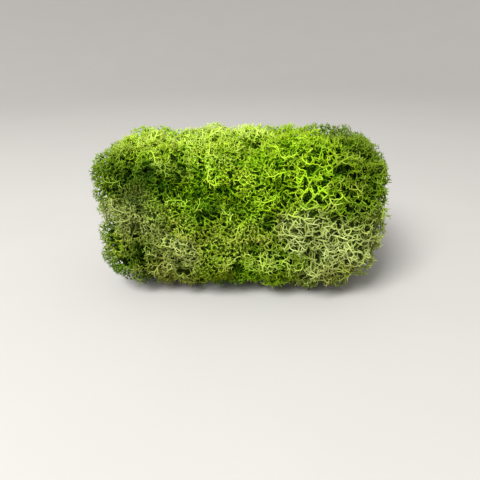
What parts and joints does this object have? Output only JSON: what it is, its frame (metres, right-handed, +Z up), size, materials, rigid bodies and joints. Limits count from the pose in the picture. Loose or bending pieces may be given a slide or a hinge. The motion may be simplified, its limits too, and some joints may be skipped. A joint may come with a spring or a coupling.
{
  "type": "reindeer moss clump",
  "caption": "Loaf-shaped cushion of bright green reindeer moss: rounded tufts of finely forked twigs pressed against each other, flat where it rests.",
  "frame": {"origin": "on the surface the clump rests on, under its middle tuft", "axes": "+X along the clump, -Y out of its front, +Y out of its back, +Z up"},
  "size_m": [0.1869, 0.1029, 0.1039],
  "materials": {
    "lime_lichen": "dry and matt, light yellow-green",
    "leaf_lichen": "dry and matt, saturated bright green",
    "deep_lichen": "dry and matt, dark green",
    "pale_lichen": "dry and matt, pale green",
    "olive_lichen": "dry and matt, olive-brown"
  },
  "bodies": {
    "root": {"tuft_top_left": "lime_lichen", "tuft_top_middle_left": "lime_lichen", "tuft_top_middle": "lime_lichen", "tuft_top_right": "leaf_lichen", "tuft_top_far_right": "deep_lichen", "tuft_upper_far_left": "deep_lichen", "tuft_upper_left": "deep_lichen", "tuft_upper_middle_left": "leaf_lichen", "tuft_upper_middle": "leaf_lichen", "tuft_upper_right": "leaf_lichen", "tuft_upper_far_right": "deep_lichen", "tuft_middle_far_left": "pale_lichen", "tuft_middle_left": "leaf_lichen", "tuft_middle": "leaf_lichen", "tuft_lower_right": "pale_lichen", "tuft_lower_far_right": "pale_lichen", "tuft_lower_far_left": "deep_lichen", "tuft_lower_left": "pale_lichen", "tuft_lower_middle_left": "leaf_lichen", "tuft_lower_middle": "leaf_lichen", "tuft_lower_right_base": "pale_lichen", "tuft_top_back_1": "leaf_lichen", "tuft_top_back_2": "lime_lichen", "tuft_top_back_3": "leaf_lichen", "tuft_top_back_4": "deep_lichen", "tuft_back_1": "pale_lichen", "tuft_back_2": "leaf_lichen", "tuft_back_3": "lime_lichen", "tuft_back_4": "leaf_lichen", "tuft_back_5": "pale_lichen", "tuft_under_back_1": "olive_lichen", "tuft_under_back_2": "leaf_lichen", "tuft_under_back_3": "olive_lichen", "tuft_under_back_4": "deep_lichen", "tuft_under_1": "olive_lichen", "tuft_under_2": "deep_lichen", "tuft_under_3": "olive_lichen", "tuft_left_end_upper": "leaf_lichen", "tuft_left_end_lower": "deep_lichen", "tuft_right_end_upper": "deep_lichen", "tuft_right_end_lower": "deep_lichen"}
  },
  "joints": []
}
